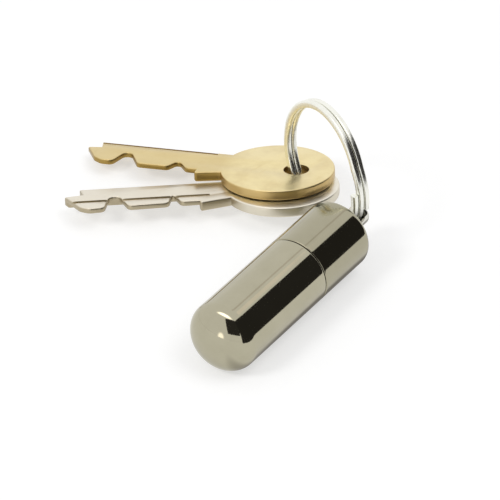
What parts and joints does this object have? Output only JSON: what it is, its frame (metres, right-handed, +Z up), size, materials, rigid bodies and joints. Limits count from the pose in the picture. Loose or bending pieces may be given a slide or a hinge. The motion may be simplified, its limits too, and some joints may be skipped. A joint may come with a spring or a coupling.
{
  "type": "fire starter keychain",
  "caption": "Capsule petrol lighter with a screw cap, carried on a split ring with keys; the cap unscrews and the flint-wheel insert pulls out.",
  "frame": {"origin": "middle of the whole group's footprint, on the surface that it lies on", "axes": "+Z up from the surface; +Y along the capsule from its dome to its cap's post, level; +X to the side of the capsule away from the keys"},
  "size_m": [0.0716, 0.0703, 0.0282],
  "materials": {
    "polished_chrome": "polished",
    "nickel_plate": "satin",
    "key_brass": "satin",
    "key_nickel_silver": "satin",
    "tube_brass": "satin",
    "hardened_steel": "satin",
    "spring_steel": "polished",
    "black_rubber": "matte",
    "flint_metal": "matte",
    "cotton": "matte",
    "felt": "matte"
  },
  "bodies": {
    "tank": {"tank_shell": "polished_chrome"},
    "insert": {"insert_collar": "nickel_plate", "insert_barrel": "nickel_plate", "insert_seal": "black_rubber", "flint_tube": "tube_brass", "flint_spring": "spring_steel", "spring_screw": "tube_brass", "wadding": "cotton", "felt_pad": "felt", "wick": "cotton", "wheel_bracket": "nickel_plate", "wheel_axle": "spring_steel"},
    "seal": {"cap_seal": "black_rubber"},
    "cap": {"cap_shell": "polished_chrome", "ring_post": "polished_chrome"},
    "wheel": {"spark_wheel": "hardened_steel"},
    "flint_feed": {"flint": "flint_metal", "flint_plunger": "tube_brass"},
    "ring": {"split_ring": "polished_chrome"},
    "brass_key": {"brass_key": "key_brass"},
    "nickel_key": {"nickel_key": "key_nickel_silver"}
  },
  "joints": [
    {"name": "insert_pull", "type": "slide", "parent": "tank", "child": "insert", "axis": [0, 1, 0], "range_m": [0, 0.034]},
    {"name": "cap_turn", "type": "hinge", "parent": "seal", "child": "cap", "pos_m": [0.02831, 0.00187, 0.0075], "axis": [0, 1, 0], "range_deg": [0, 1440]},
    {"name": "cap_lift", "type": "slide", "parent": "insert", "child": "seal", "axis": [0, 1, 0], "range_m": [0, 0.018]},
    {"name": "wheel_spin", "type": "hinge", "parent": "insert", "child": "wheel", "pos_m": [0.02651, 0.00547, 0.0075], "axis": [0, 0, 1], "continuous": true},
    {"name": "flint_push", "type": "slide", "parent": "insert", "child": "flint_feed", "axis": [0, 1, 0], "range_m": [-0.002, 0], "stiffness_N_per_m": 100, "springref_m": 0.004, "deforming": ["flint_spring"]},
    {"name": "ring_swing", "type": "hinge", "parent": "cap", "child": "ring", "pos_m": [0.02831, 0.01577, 0.0075], "axis": [0.4857, 0, 0.8741], "range_deg": [-180, 30]},
    {"name": "brass_key_swing", "type": "hinge", "parent": "ring", "child": "brass_key", "pos_m": [0.00864, 0.02445, 0.00573], "axis": [-0.1388, 0.1568, 0.9778], "range_deg": [-60, 30]},
    {"name": "nickel_key_swing", "type": "hinge", "parent": "ring", "child": "nickel_key", "pos_m": [0.01062, 0.02347, 0.00364], "axis": [-0.1388, 0.1568, 0.9778], "range_deg": [-60, 30]}
  ],
  "couplings": [
    {"joint": "cap_lift", "follows": "cap_turn", "m_per_rad": 0.00070028}
  ]
}
